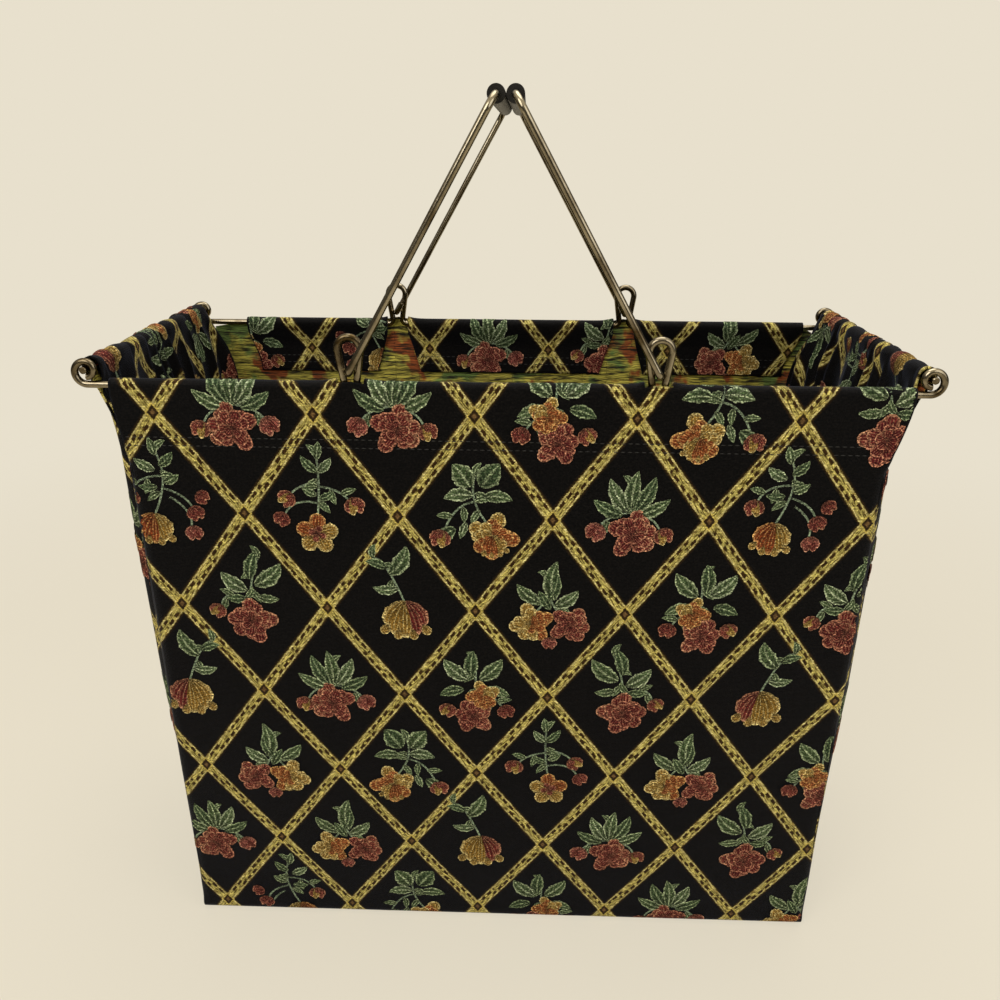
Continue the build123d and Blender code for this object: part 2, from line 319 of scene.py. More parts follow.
node(tapestry_back, "OutputMaterial", {"Surface": back_cotton})


# The body is one strip of tapestry: a facing turned in over the front rim wire, down the
# front, under the board, up the back and over the back rim wire to another facing.
rim_height = 336.0
rim_y = 80.0
roll = 2.75
panel_y = rim_y + roll
facing_y = 81.2
facing_end = 304.0
strip_half = 190.0
seam_half = 185.0
fold = 5.0
base_height = 0.75
eye_x = 73.0
slit_half = 6.7
slit_flare = 7.5
slit_flare_top = 330.0
lean_top = 321.0
facing_rows = 17
roll_rows = 15
panel_rows = 93
fold_rows = 8
base_rows = 41
pattern_take_up = 46.0
cloth_thickness = 1.1


def ease(value, start, end):
    """Goes smoothly from 0 at start to 1 at end."""
    part = np.clip((np.asarray(value, float) - start) / (end - start), 0.0, 1.0)
    return part * part * (3.0 - 2.0 * part)


front_path = []
for height in np.linspace(facing_end, rim_height, facing_rows):
    inward = ease(height, lean_top, rim_height)
    front_path.append((-(facing_y + (rim_y - roll - facing_y) * inward), height))
for turn in np.linspace(0.0, math.pi, roll_rows)[1:]:
    front_path.append((-rim_y + roll * math.cos(turn), rim_height + roll * math.sin(turn)))
for height in np.linspace(rim_height, base_height + fold, panel_rows)[1:]:
    front_path.append((-panel_y, height))
for turn in np.linspace(0.0, math.pi / 2, fold_rows)[1:]:
    front_path.append((-panel_y + fold - fold * math.cos(turn), base_height + fold - fold * math.sin(turn)))
under = [(y, base_height) for y in np.linspace(-panel_y + fold, panel_y - fold, base_rows)[1:-1]]
strip_path = np.array(front_path + under + [(-y, z) for y, z in reversed(front_path)])
steps = np.hypot(*np.diff(strip_path, axis=0).T)
# Under the board the pattern runs a little closer, so that both facings show it in step.
on_base = np.abs(np.diff(strip_path[:, 1])) < 1e-6
drawn = steps * np.where(on_base, 1.0 + pattern_take_up / steps[on_base].sum(), 1.0)
strip_run = np.concatenate([[0.0], np.cumsum(drawn)])
top_of_front = np.argmax((strip_path[:, 0] < -panel_y + 0.01) & (strip_path[:, 1] < rim_height + 0.01))
strip_pattern = rim_height + strip_run[top_of_front] - strip_run
tangent = np.gradient(strip_path, axis=0)
tangent /= np.hypot(*tangent.T)[:, None]
strip_out = np.stack([tangent[:, 1], -tangent[:, 0]], axis=1)
strip_is_hem = np.zeros(len(strip_path), bool)
strip_is_hem[: top_of_front + 1] = True
strip_is_hem[len(strip_path) - top_of_front - 1 :] = True
crest_row = facing_rows - 1 + roll_rows // 2
front_crest = strip_pattern[crest_row]
back_crest = strip_pattern[len(strip_path) - 1 - crest_row]
flared = np.clip((slit_flare_top - strip_path[:, 1]) / (slit_flare_top - facing_end), 0.0, 1.0)
strip_slit = slit_half + slit_flare * np.where(strip_is_hem, flared, 0.0)
# The hem sits a little to the right on both wires, and is drawn in more along the back one.
front_hem_left = seam_half + 4.0
front_hem_right = seam_half + 8.0
front_tuck = 2.0
back_hem_left = 171.0
back_hem_right = 187.0
back_tuck_left = 6.0
back_tuck_right = 9.0
behind = strip_path[:, 0] > 0
height = strip_path[:, 1]
front_flare = ease(height, 290.0, rim_height)
corner_heights = [301.0, 310.0, 319.0, 331.0]
corner_flares = [0.0, 1.5, 4.2, 9.4]
corner = seam_half + np.interp(height, corner_heights, corner_flares)
drawn_in = np.where(strip_is_hem, 1.0, ease(height, 332.0, 336.0))
tucked = strip_is_hem * (1.0 - ease(height, 306.0, 332.0))
back_left = corner * (1.0 - drawn_in) + (back_hem_left - back_tuck_left * tucked) * drawn_in
back_right = corner * (1.0 - drawn_in) + (back_hem_right - back_tuck_right * tucked) * drawn_in
front_left = seam_half + (front_hem_left - seam_half) * front_flare - front_tuck * tucked
front_right = seam_half + (front_hem_right - seam_half) * front_flare - front_tuck * tucked
strip_left = -np.where(behind, back_left, front_left)
strip_right = np.where(behind, back_right, front_right)


# Soft forms of the strip, in mm: the swell and slack waves of its panels, puckers and a crease
# along the hem seam, a pull at the upper corners, the turn at the seams and the lift at the eyes.
# The margins say how near to an edge, an end or a slit a thread may lie.
swell_depth = 3.2
wave_depths = (0.9, 0.5, 0.7)
back_phase = 2.1
pucker_depth = 0.15
crease_depth = 0.5
crease_height = 307.0
pull_depth = 1.6
seam_turn = 2.0
seam_turn_width = 5.0
eye_lift = 2.2
eye_bulge = 0.4
eye_spread = 8.0
edge_margin = 0.6
end_margin = 0.4
slit_margin = 4.0
slit_drop = 3.0


def on_strip(pattern, values):
    """Reads a value that is held for each row of the strip, at any height in the pattern."""
    return np.interp(-pattern, -strip_pattern, values)


def strip_reach(across, pattern):
    """How far the strip reaches from its middle, on the side that each point is on."""
    return np.where(across < 0, -on_strip(pattern, strip_left), on_strip(pattern, strip_right))


def strip_at(across, pattern):
    """Places points of the strip, given how far across it and how high in the pattern they are."""
    y, z = on_strip(pattern, strip_path[:, 0]), on_strip(pattern, strip_path[:, 1])
    out_y, out_z = on_strip(pattern, strip_out[:, 0]), on_strip(pattern, strip_out[:, 1])
    half = strip_reach(across, pattern)
    away = np.abs(across)
    panel = 1.0 - on_strip(pattern, strip_is_hem.astype(float))
    phase = np.where(y < 0, 0.0, back_phase)
    upright = panel * ease(z, 4.0, 40.0) * (1.0 - 0.95 * ease(z, 262.0, 294.0))
    swell = swell_depth * np.cos(across / half * math.pi / 2) * np.sin(math.pi * np.clip(z / 330.0, 0, 1))
    waves = wave_depths[0] * np.sin(across / 41.0 + 0.6 + phase) * np.exp(-(((z - 282.0) / 38.0) ** 2))
    waves += wave_depths[1] * np.sin(across / 19.0 + z / 45.0 + phase) * np.exp(-(((z - 250.0) / 60.0) ** 2))
    waves += wave_depths[2] * np.sin(z / 37.0 + across / 90.0 + phase) * ease(away, 60.0, 170.0)
    puckers = np.sin(across / 2.6 + 1.3 * np.sin(across / 17.0)) * np.exp(-(((z - 314.0) / 9.0) ** 2))
    crease = np.exp(-(((z - crease_height) / 3.0) ** 2))
    pull = pull_depth * np.exp(-(((away - 176.0) / 16.0) ** 2) - ((z - 286.0) / 26.0) ** 2)
    near_edge = np.clip((away - half + seam_turn_width) / seam_turn_width, 0.0, 1.0)
    turn_in = seam_turn * near_edge**2 * panel * ease(z, 2.0, 12.0) * (1.0 - ease(z, 296.0, 306.0))
    hitch = np.exp(-(((away - eye_x) / eye_spread) ** 2)) * ease(z, 326.0, 337.0)
    at_seam = panel * (pucker_depth * puckers - crease_depth * crease)
    moved = upright * (swell + waves + pull) + at_seam - turn_in + eye_bulge * hitch
    return np.stack([across, y + out_y * moved, z + out_z * moved + eye_lift * hitch], axis=-1)


def strip_has(across, pattern):
    """True where the strip has cloth, away from its edges and from the slits at the eyes."""
    near_eye = np.abs(np.abs(across) - eye_x) < on_strip(pattern, strip_slit)
    in_slit = near_eye & ((pattern > front_crest - slit_margin) | (pattern < back_crest + slit_margin))
    ends = (pattern < strip_pattern[0] - end_margin) & (pattern > strip_pattern[-1] + end_margin)
    return (np.abs(across) < strip_reach(across, pattern) - edge_margin) & ~in_slit & ends


def spaced(stops, counts):
    """Evenly spaced values from each stop to the next, given how many of them each stretch has."""
    stretches = [np.linspace(start, end, count)[:-1] for start, end, count in zip(stops, stops[1:], counts)]
    return np.concatenate(stretches + [stops[-1:]])


def grid_quads(rows, columns):
    """The four corners of each cell in a grid of points that is counted row by row."""
    index = np.arange(rows * columns).reshape(rows, columns)
    return np.stack([index[:-1, :-1], index[1:, :-1], index[1:, 1:], index[:-1, 1:]], axis=-1)


def mark_points(mesh, name, places):
    """Gives each point of a mesh a named place of two numbers."""
    flat = np.concatenate([places, np.zeros((len(places), 1))], axis=1)
    held = mesh.attributes.new(name, "FLOAT_VECTOR", "POINT")
    held.data.foreach_set("vector", flat.astype(np.float32).ravel())


def smooth_piece(name, mesh):
    """Puts a mesh in the scene, smooth and without points that no face uses, and selects it."""
    piece = bpy.data.objects.new(name, mesh)
    bpy.context.scene.collection.objects.link(piece)
    bpy.context.view_layer.objects.active = piece
    piece.select_set(True)
    bpy.ops.object.shade_smooth()
    bpy.ops.object.mode_set(mode="EDIT")
    bpy.ops.mesh.select_all(action="SELECT")
    bpy.ops.mesh.delete_loose()
    bpy.ops.object.mode_set(mode="OBJECT")
    return piece


def cloth_piece(name, points, places, keep):
    """Makes a sheet of cloth from a grid of points in mm, with a face side and a back side."""
    quads = grid_quads(*points.shape[:2])[keep]
    mesh = bpy.data.meshes.new(name)
    mesh.from_pydata((points.reshape(-1, 3) / 1000.0).tolist(), [], quads.tolist())
    mark_points(mesh, "cloth", places.reshape(-1, 2))
    mesh.materials.append(tapestry)
    mesh.materials.append(tapestry_back)
    piece = smooth_piece(name, mesh)
    wall = piece.modifiers.new("wall", "SOLIDIFY")
    wall.thickness = cloth_thickness / 1000.0
    wall.offset = 0.0
    wall.material_offset = 1
    bpy.ops.object.modifier_apply(modifier="wall")
    piece.select_set(False)
    return piece


edge_columns = 7
side_columns = 28
slit_columns = 5
middle_columns = 36
edge_width = 8.0
cuts = [-strip_half, -eye_x - slit_half, -eye_x + slit_half, eye_x - slit_half, eye_x + slit_half, strip_half]
stops = [cuts[0], cuts[0] + edge_width] + cuts[1:-1] + [cuts[-1] - edge_width, cuts[-1]]
counts = [edge_columns, side_columns, slit_columns, middle_columns, slit_columns, side_columns, edge_columns]
columns = spaced(stops, counts)
across_grid = []
for left, right, slit in zip(strip_left, strip_right, strip_slit):
    opened = [left, -eye_x - slit, -eye_x + slit, eye_x - slit, eye_x + slit, right]
    across_grid.append(np.interp(columns, cuts, opened))
across_grid = np.array(across_grid)
pattern_grid = np.repeat(strip_pattern[:, None], len(columns), axis=1)
middle = (columns[:-1] + columns[1:]) / 2
in_slit = np.abs(np.abs(middle) - eye_x) < slit_half
open_rows = (strip_pattern[:-1] > front_crest - slit_drop) | (strip_pattern[1:] < back_crest + slit_drop)
body_strip = cloth_piece(
    "body_strip",
    strip_at(across_grid, pattern_grid),
    np.stack([across_grid - knot_x, pattern_grid - knot_height], axis=-1),
    ~(open_rows[:, None] & in_slit[None, :]),
)
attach(body_strip, "bag")
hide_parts("body_cloth")


# Each gusset is a piece of the same tapestry, sewn to the strip along both sides and cut 30%
# fuller at the top, where it is turned over the side wire and drawn up into small gathers.
gusset_half = 82.0
wire_height = 343.4
wire_wrap = math.pi * 3.4
facing_low = 284.0
gusset_end = wire_height + wire_wrap + wire_height - facing_low
gusset_knot_y = 6.0
gusset_knot_height = knot_height - 22.0
level = np.array([0.0, 5.0, 60.0, 168.0, 250.0, 301.0, 310.0, 319.0, 331.0, wire_height])
end_x = np.array([182.6, 183.8, 183.8, 183.6, 183.6, 184.2, 186.0, 188.8, 194.6, 200.0])
middle_x = np.array([182.6, 184.4, 189.2, 195.4, 196.6, 196.7, 197.2, 198.0, 199.2, 200.0])
end_y = np.array([79.5, 81.4, 81.6, 81.6, 81.6, 81.6, 81.6, 81.4, 79.4, 74.0])
gather_depth = np.array([0.0, 0.0, 0.1, 1.2, 2.6, 3.5, 3.6, 3.5, 2.6, 0.0])
gather_fullness = 0.3
gather_count = 11.0
gather_sway = 0.35
gather_starts = {-1: 0.7, 1: 2.3}
ring_radius = 2.75
ring_rise = 1.9
facing_gap = 1.7


def gathers(part, start):
    """The height of the folds at a place across the gusset, from -1 to 1."""
    turn = 2 * math.pi * part
    phase = gather_count * part + 0.34 * np.sin(1.7 * turn + start) + 0.2 * np.sin(3.1 * turn + 2.0 * start)
    size = 0.72 + 0.28 * np.sin(2.3 * turn + 1.4 * start)
    return size * (2.0 * np.abs(np.cos(math.pi * phase)) ** 0.7 - 1.0)


def gusset_reach(pattern):
    """Half the width of a gusset's flat cloth, which is fuller towards the gathered top."""
    return gusset_half * (1.0 + gather_fullness * ease(pattern, 120.0, 330.0))


def gusset_at(across, pattern, side):
    """Places points of the left (-1) or right (1) gusset from their place in the pattern."""
    start = gather_starts[side]
    part = np.clip(across / gusset_reach(pattern), -1.0, 1.0)
    ripple = gathers((part + 1.0) / 2.0, start)
    ring = ring_radius + ring_rise * (0.5 + 0.5 * gathers((part + 1.0) / 2.0 + 0.013, start))
    over = pattern - wire_height
    inside = over > wire_wrap
    z = np.where(inside, wire_height - (over - wire_wrap), np.minimum(pattern, wire_height))
    turn = np.clip(over / wire_wrap, 0.0, 1.0) * math.pi
    crown = 1.0 - np.abs(part) ** 9
    base_x = np.interp(z, level, end_x)
    mid_x = np.interp(z, level, middle_x)
    deep = np.interp(z, level, gather_depth)
    x = base_x + (mid_x - base_x) * crown + deep * (ripple - 1.0) * ease(1.0 - np.abs(part), 0.0, 0.08)
    near_wire = ease(z, 331.0, wire_height)
    x += np.where(inside, -facing_gap * (1.0 - near_wire) - ring * near_wire, ring * near_wire * np.cos(turn))
    z = z + np.where(inside, 0.0, ring * np.sin(turn))
    sway = np.interp(z, level, gather_depth) * gather_sway * np.sin(part * 31.0 + start)
    y = np.interp(np.minimum(z, wire_height), level, end_y) * part + sway * ease(1.0 - np.abs(part), 0.0, 0.1)
    return np.stack([side * x, side * y, z], axis=-1)


def gusset_has(across, pattern):
    """True where a gusset has cloth, away from its edges."""
    return (np.abs(across) < gusset_reach(pattern) - 0.8) & (pattern > 2.0) & (pattern < gusset_end - 0.5)


gusset_low = 1.6
finer_from = 290.0
gusset_stops = [gusset_low, finer_from, wire_height, wire_height + wire_wrap, gusset_end]
gusset_counts = [70, 32, 13, 28]
gusset_rows = spaced(gusset_stops, gusset_counts)
gusset_columns = np.linspace(-1.0, 1.0, 177)
for side, gusset in ((-1, "left_gusset"), (1, "right_gusset")):
    across_grid, pattern_grid = np.meshgrid(gusset_columns, gusset_rows[::-1])
    across_grid = across_grid * gusset_reach(pattern_grid)
    piece = cloth_piece(
        gusset + "_cloth",
        gusset_at(across_grid, pattern_grid, side),
        np.stack([across_grid - gusset_knot_y, pattern_grid - gusset_knot_height], axis=-1),
        np.ones((len(gusset_rows) - 1, len(gusset_columns) - 1), bool),
    )
    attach(piece, "bag")
    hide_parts(gusset)


# The sprigs are brocaded in dull red, rose, orange, yellow and grey-green wefts, which
# stand a little proud of the ground. Each shape is edged with a paler thread.
leaf_weft = bare_material("brocaded_leaf_weft")
petal_weft = bare_material("brocaded_petal_weft")
for material, is_leaf in ((leaf_weft, True), (petal_weft, False)):
    figure = node(material, "Attribute", {}, attribute_name="figure")
    body_dye = node(material, "Attribute", {}, attribute_name="dye")
    edge_dye = node(material, "Attribute", {}, attribute_name="edge_dye")
    cloth_place = node(material, "Attribute", {}, attribute_name="cloth").outputs["Vector"]
    uv = node(material, "SeparateXYZ", {"Vector": figure.outputs["Vector"]})
    out = node(material, "Math", {0: uv.outputs["X"]}, operation="ABSOLUTE")
    rim = node(material, "MapRange", {"Value": out, "From Min": 0.62, "From Max": 0.86})
    if is_leaf:
        rib = node(
            material, "MapRange", {"Value": out, "From Min": 0.06, "From Max": 0.2, "To Min": 1.0, "To Max": 0.0}
        )
        slope = node(material, "Math", {0: uv.outputs["Y"], 1: 5.0}, operation="MULTIPLY")
        vein = node(material, "Math", {0: out, 1: -1.4, 2: slope}, operation="MULTIPLY_ADD")
        beat = node(material, "Math", {0: vein}, operation="FRACT")
        veins = node(
            material, "MapRange", {"Value": beat, "From Min": 0.55, "From Max": 0.9, "To Min": 0.0, "To Max": 0.3}
        )
        lines = node(material, "Math", {0: rib, 1: veins}, operation="MAXIMUM")
    else:
        outer = node(material, "MapRange", {"Value": uv.outputs["Y"], "From Min": 0.5, "From Max": 0.8, "To Min": 0.4})
        rim = node(material, "Math", {0: rim, 1: outer}, operation="MULTIPLY")
        tip = node(material, "MapRange", {"Value": uv.outputs["Y"], "From Min": 0.86, "From Max": 0.96})
        fan = node(material, "Math", {0: uv.outputs["X"], 1: 2.6, 2: 0.5}, operation="MULTIPLY_ADD")
        beat = node(material, "Math", {0: fan}, operation="FRACT")
        strokes = node(
            material, "MapRange", {"Value": beat, "From Min": 0.6, "From Max": 0.85, "To Min": 0.0, "To Max": 0.5}
        )
        lines = node(material, "Math", {0: tip, 1: strokes}, operation="MAXIMUM")
    outline = node(material, "Math", {0: rim, 1: lines}, operation="MAXIMUM")
    fleck = node(material, "TexNoise", {"Vector": cloth_place, "Scale": 1.1, "Detail": 1.0})
    broken = node(material, "MapRange", {"Value": fleck, "From Min": 0.38, "From Max": 0.58, "To Min": 0.3})
    pale = node(material, "Math", {0: outline, 1: broken}, operation="MULTIPLY")
    deep = node(material, "Mix", {"Factor": 0.74, "A": body_dye, "B": (0.0, 0.0, 0.0, 1.0)}, data_type="RGBA")
    lighten = node(material, "MapRange", {"Value": uv.outputs["Y"], "From Min": 0.0, "From Max": 0.7})
    body = node(material, "Mix", {"Factor": lighten, "A": deep, "B": body_dye}, data_type="RGBA")
    edged = node(material, "Mix", {"Factor": pale, "A": body, "B": edge_dye}, data_type="RGBA")
    weft = node(
        material,
        "TexBrick",
        {
            "Vector": cloth_place,
            "Color1": (1.5, 1.5, 1.5, 1.0),
            "Color2": (0.42, 0.42, 0.42, 1.0),
            "Mortar": (0.25, 0.25, 0.25, 1.0),
            "Scale": 1.0,
            "Mortar Size": 0.12,
            "Mortar Smooth": 0.5,
            "Brick Width": 1.6,
            "Row Height": 0.8,
        },
    )
    fleck_tone = node(
        material,
        "MapRange",
        {"Value": fleck, "From Min": 0.34, "From Max": 0.66, "To Min": 0.42, "To Max": 1.5},
    )
    flecked = node(
        material,
        "Mix",
        {"Factor": 1.0, "A": edged, "B": fleck_tone},
        data_type="RGBA",
        blend_type="MULTIPLY",
    )
    threads = node(material, "Mix", {"Factor": 0.8, "A": flecked, "B": weft}, data_type="RGBA", blend_type="MULTIPLY")
    relief = node(material, "Math", {0: pale, 1: 0.7, 2: weft.outputs["Fac"]}, operation="MULTIPLY_ADD")
    pile = node(material, "Bump", {"Height": relief, "Strength": 0.5, "Distance": 0.0004})
    cotton = node(
        material,
        "BsdfPrincipled",
        {
            "Base Color": threads,
            "Roughness": 0.78,
            "Specular IOR Level": 0.1,
            "Normal": pile,
        },
    )
    node(material, "OutputMaterial", {"Surface": cotton})


# Leaves, petals and stems are grids of points; a fine one, for a rolled edge, has twice the rows.
shape_rows = 11
stem_rows = 10


def shape(base, turn, length, width, bend=0.0, front=0.85, point=0.9, fine=1):
    """A leaf or petal in mm: rows of (x, y, place across, place along), from its base to its tip."""
    rows = shape_rows * fine
    along = np.linspace(0.03, 0.985, rows)
    angle = np.radians(turn + bend * along)
    step = length * (along[1] - along[0])
    line_x = base[0] + np.concatenate([[0.0], np.cumsum(np.cos(angle[:-1]) * step)])
    line_y = base[1] + np.concatenate([[0.0], np.cumsum(np.sin(angle[:-1]) * step)])
    half = width / 2 * np.sin(math.pi * along**front) ** point
    half = half * (1.0 + 0.1 * np.sin(along * 23.0 + turn) * np.sin(math.pi * along))
    off = np.linspace(-1.0, 1.0, 2 * fine + 3)
    x = line_x[:, None] - np.sin(angle)[:, None] * half[:, None] * off
    y = line_y[:, None] + np.cos(angle)[:, None] * half[:, None] * off
    return np.stack([x, y, np.repeat(off[None, :], rows, 0), np.repeat(along[:, None], len(off), 1)], axis=-1)


petal_dyes = {
    "red": ("#501619", "#BC8266"),
    "rose": ("#602220", "#C69472"),
    "orange": ("#7A3A1C", "#D2A868"),
    "yellow": ("#86662A", "#DCCB8C"),
    "pink": ("#743632", "#C8987A"),
}
leaf_dyes = (("#3E5030", "#A4B18A"), ("#32442A", "#95A47C"), ("#4A5C3A", "#AEBA96"))
second_dyes = {"red": "rose", "rose": "yellow", "orange": "yellow", "yellow": "orange", "pink": "red"}


def bloom(kind, x, y, size, turn, colour):
    """The petals of a flower: rows of (base, turn, length, width, bend, front, point, dyes)."""
    made = []
    first, second = petal_dyes[colour], petal_dyes[second_dyes[colour]]
    way = math.radians(turn)
    if kind == "rosette":
        # Rings of petals, as (how many, length, width, turn), around a heart a little off the middle.
        rings = ((9, 1.02, 0.68, 0.0), (8, 0.78, 0.54, 19.0), (5, 0.48, 0.42, 8.0))
        aside = way + math.radians(60.0)
        heart = (x + 0.12 * size * math.cos(aside), y + 0.12 * size * math.sin(aside))
        for ring, (count, reach, wide, start) in enumerate(rings):
            for k in range(count):
                uneven = math.sin(2.7 * k + 1.9 * ring + x + 0.6 * y)
                angle = turn + start + 360.0 * k / count + 9.0 * uneven
                lit = math.cos(math.radians(angle - turn - 70.0)) + 0.5 * uneven
                length = size * reach * (1.0 + 0.16 * uneven)
                tint = second if lit > 0.45 else first
                made.append((heart, angle, length, size * wide, 22.0 * uneven, 1.7, 0.5, tint))
    if kind == "tulip":
        # Petals as (lean, length, width), and small tips along the mouth.
        petals = ((-46, 0.92, 0.62), (46, 0.92, 0.62), (-24, 1.08, 0.66), (24, 1.08, 0.66), (0, 1.14, 0.6))
        for k, (lean, reach, wide) in enumerate(petals):
            tint = first if k % 2 else second
            made.append(
                ((x, y), turn + lean, size * 1.35 * reach, size * 1.2 * wide, -lean * 0.7, 1.35, 0.55, tint)
            )
        for lean in (-34, -12, 12, 34):
            angle = math.radians(turn + lean)
            tip = (x + math.cos(angle) * size * 1.12, y + math.sin(angle) * size * 1.12)
            made.append((tip, turn + lean * 0.8, size * 0.46, size * 0.36, 0.0, 1.3, 0.6, petal_dyes["yellow"]))
    if kind == "star":
        for k in range(5):
            tint = second if k in (1, 2, 3) else first
            made.append(((x, y), turn + 72.0 * k, size, size * 0.74, 14.0, 1.5, 0.55, tint))
        for k in range(4):
            angle = turn + 90.0 * k + 20.0
            made.append(((x, y), angle, size * 0.42, size * 0.36, 0.0, 1.4, 0.6, petal_dyes["rose"]))
    if kind == "bud":
        foot = (x - math.cos(way) * size * 0.8, y - math.sin(way) * size * 0.8)
        for k, (lean, reach) in enumerate(((-50, 1.5), (50, 1.5), (-22, 1.75), (24, 1.7), (0, 1.35), (-8, 0.9))):
            tint = second if k in (3, 4) else first
            made.append((foot, turn + lean, size * reach, size * 0.82, -lean, 1.4, 0.6, tint))
    return made


# Eight sprigs, in mm from the middle of a diamond: leaves are (x, y, turn, length, width,
# bend), stems run through three points, and flowers are (kind, x, y, size, turn, dye).
sprigs = {
    "carnation": (
        [
            (-1, 9, 152, 19, 9, -28), (1, 12, 96, 16, 7, 20), (3, 6, 28, 16, 8, 24), (-2, 3, 196, 11, 5, -20),
            (4, 2, -8, 10, 5, 20),
        ],
        [((-4, 23), (0, 12), (3, -6)), ((4, 2), (12, 3), (16, -2))],
        [("rosette", 3, -11, 11.5, 80, "red"), ("bud", 18, -5, 4.6, -60, "rose")],
    ),
    "tulip": (
        [(-5, 17, 44, 18, 8.5, 34), (-6, 20, 150, 11, 5, 24), (-1, 10, 196, 13, 5.5, -36)],
        [((-12, 25), (-6, 20), (2, 2))],
        [("tulip", 2, 3, 13.5, -90, "rose")],
    ),
    "spray": (
        [
            (-2, 26, 104, 9, 4.6, 0), (-1, 21, 34, 10, 5, 20), (-3, 19, 158, 11, 5.4, -20),
            (0, 13, 18, 9, 4.6, 20), (-3, 11, 188, 9, 4.4, -20),
        ],
        [
            ((-2, 28), (0, 14), (-6, -3)), ((-1, 16), (-10, 14), (-15, 8)), ((0, 10), (8, 6), (12, 0)),
            ((2, 6), (9, -1), (10, -9)),
        ],
        [
            ("bud", -16, 5, 5, -100, "rose"), ("bud", 13, -2, 4.6, -70, "red"),
            ("bud", 11, -12, 4.6, -90, "pink"), ("bud", 17, 6, 4, -40, "red"),
            ("tulip", -6, -2, 10.5, -96, "yellow"),
        ],
    ),
    "pair": (
        [
            (-2, 5, 78, 22, 8.5, 30), (1, 5, 118, 15, 6, -24), (-2, 2, 156, 15, 7, -30),
            (5, 4, 28, 15, 7, 26), (0, 0, 60, 12, 5, 0),
        ],
        [((0, 16), (0, 6), (-7, -6)), ((0, 8), (4, 2), (10, -6))],
        [
            ("rosette", -9, -9, 9.6, 70, "red"), ("rosette", 10, -8, 10, 100, "yellow"),
            ("bud", 0, -18, 4, -90, "pink"),
        ],
    ),
    "peony": (
        [
            (-2, 13, 122, 14, 11, 10), (3, 13, 58, 14.5, 11.5, -10), (-1, 9, 176, 14, 7, 24),
            (4, 8, 8, 14, 6.4, -26), (-9, -7, 214, 12, 7, 30), (-4, -4, 250, 9, 4, 0),
        ],
        [((0, 18), (0, 6), (7, -6)), ((0, 6), (-8, 2), (-14, -8))],
        [
            ("rosette", 9, -12, 11, 60, "orange"), ("tulip", 8, -10, 7.2, -80, "yellow"),
            ("bud", -16, -12, 5.4, -110, "rose"),
        ],
    ),
    "rose": (
        [
            (0, 3, 90, 20, 7.6, 14), (-2, 3, 124, 19, 7.4, -16), (2, 3, 54, 18, 7.4, 16),
            (-3, 1, 162, 17, 6.6, -22), (4, 1, 18, 16, 6.6, 22),
        ],
        [((0, 14), (0, 4), (0, -6)), ((2, 2), (9, 0), (14, -4)), ((-2, 1), (-9, -1), (-13, -6))],
        [("rosette", 0, -9, 11, 90, "red"), ("bud", 16, -7, 5.4, -60, "pink"), ("bud", -15, -9, 5, -120, "rose")],
    ),
    "star": (
        [
            (0, 25, 98, 9, 4.4, 0), (0, 19, 38, 11, 4.8, 20), (0, 19, 142, 10, 4.6, -20),
            (1, 8, 20, 8, 4, 20), (0, 6, 160, 8, 4, -20),
        ],
        [
            ((0, 26), (0, 10), (2, -6)), ((0, 12), (-8, 10), (-14, 5)), ((0, 14), (8, 12), (13, 8)),
            ((1, 4), (10, 4), (16, -1)),
        ],
        [
            ("star", 2, -11, 10.5, 90, "orange"), ("bud", -16, 3, 5.2, -110, "rose"),
            ("bud", 15, 6, 4.8, -50, "rose"), ("bud", 18, -4, 4.4, -60, "red"),
        ],
    ),
    "cluster": (
        [
            (-2, 8, 142, 17, 8.4, -20), (2, 10, 86, 15, 7.6, 16), (4, 8, 34, 17, 8.4, 22),
            (-4, 2, 186, 14, 6.4, 20), (6, 2, -8, 13, 6.4, -20),
        ],
        [((0, 18), (0, 8), (0, -4)), ((-3, 0), (-9, -3), (-13, -8))],
        [
            ("rosette", 2, -14, 9.8, 90, "red"), ("rosette", -3, -2, 8, 60, "orange"),
            ("bud", 14, -10, 4.8, -70, "rose"), ("bud", -15, -10, 4.8, -110, "red"),
        ],
    ),
}
sprig_names = list(sprigs)
front_rows = {
    0: ("rose", "rose", "cluster", "peony", "carnation"),
    1: ("spray", "star", "peony", "rose", "spray"),
    2: ("carnation", "tulip", "pair", "cluster", "carnation"),
    3: ("tulip", "rose", "cluster", "carnation", "tulip"),
    4: ("pair", "peony", "star", "pair", "cluster"),
    5: ("rose", "pair", "tulip", "rose", "carnation"),
    6: ("spray", "peony", "cluster", "rose", "pair"),
}


def stem(points, width, fine):
    """A narrow ribbon along a curve through three points, in the form that shape gives."""
    start, mid, end = (np.array(p, float) for p in points)
    along = np.linspace(0.0, 1.0, stem_rows * fine)[:, None]
    control = 2 * mid - (start + end) / 2
    line = (1 - along) ** 2 * start + 2 * along * (1 - along) * control + along**2 * end
    way = np.gradient(line, axis=0)
    way /= np.hypot(*way.T)[:, None]
    off = np.array([-1.0, 0.0, 1.0])
    x = line[:, 0:1] - way[:, 1:2] * width / 2 * off
    y = line[:, 1:2] + way[:, 0:1] * width / 2 * off
    return np.stack([x, y, np.repeat(off[None, :], len(along), 0), np.repeat(along, 3, 1)], axis=-1)


# A patch lies 0.56 mm off the middle of the cloth, just over its face, and later shapes of a
# sprig lie on earlier ones. Near a rolled edge the shapes are finer.
thread_rest = 0.56
thread_dome = 0.1
layer_lift = 0.014
sprig_scale = 1.1
sprig_rise = 2.0
stem_width = 0.9
stem_dyes = ("#7D8E74", "#96A688")
crest_reach = 38.0


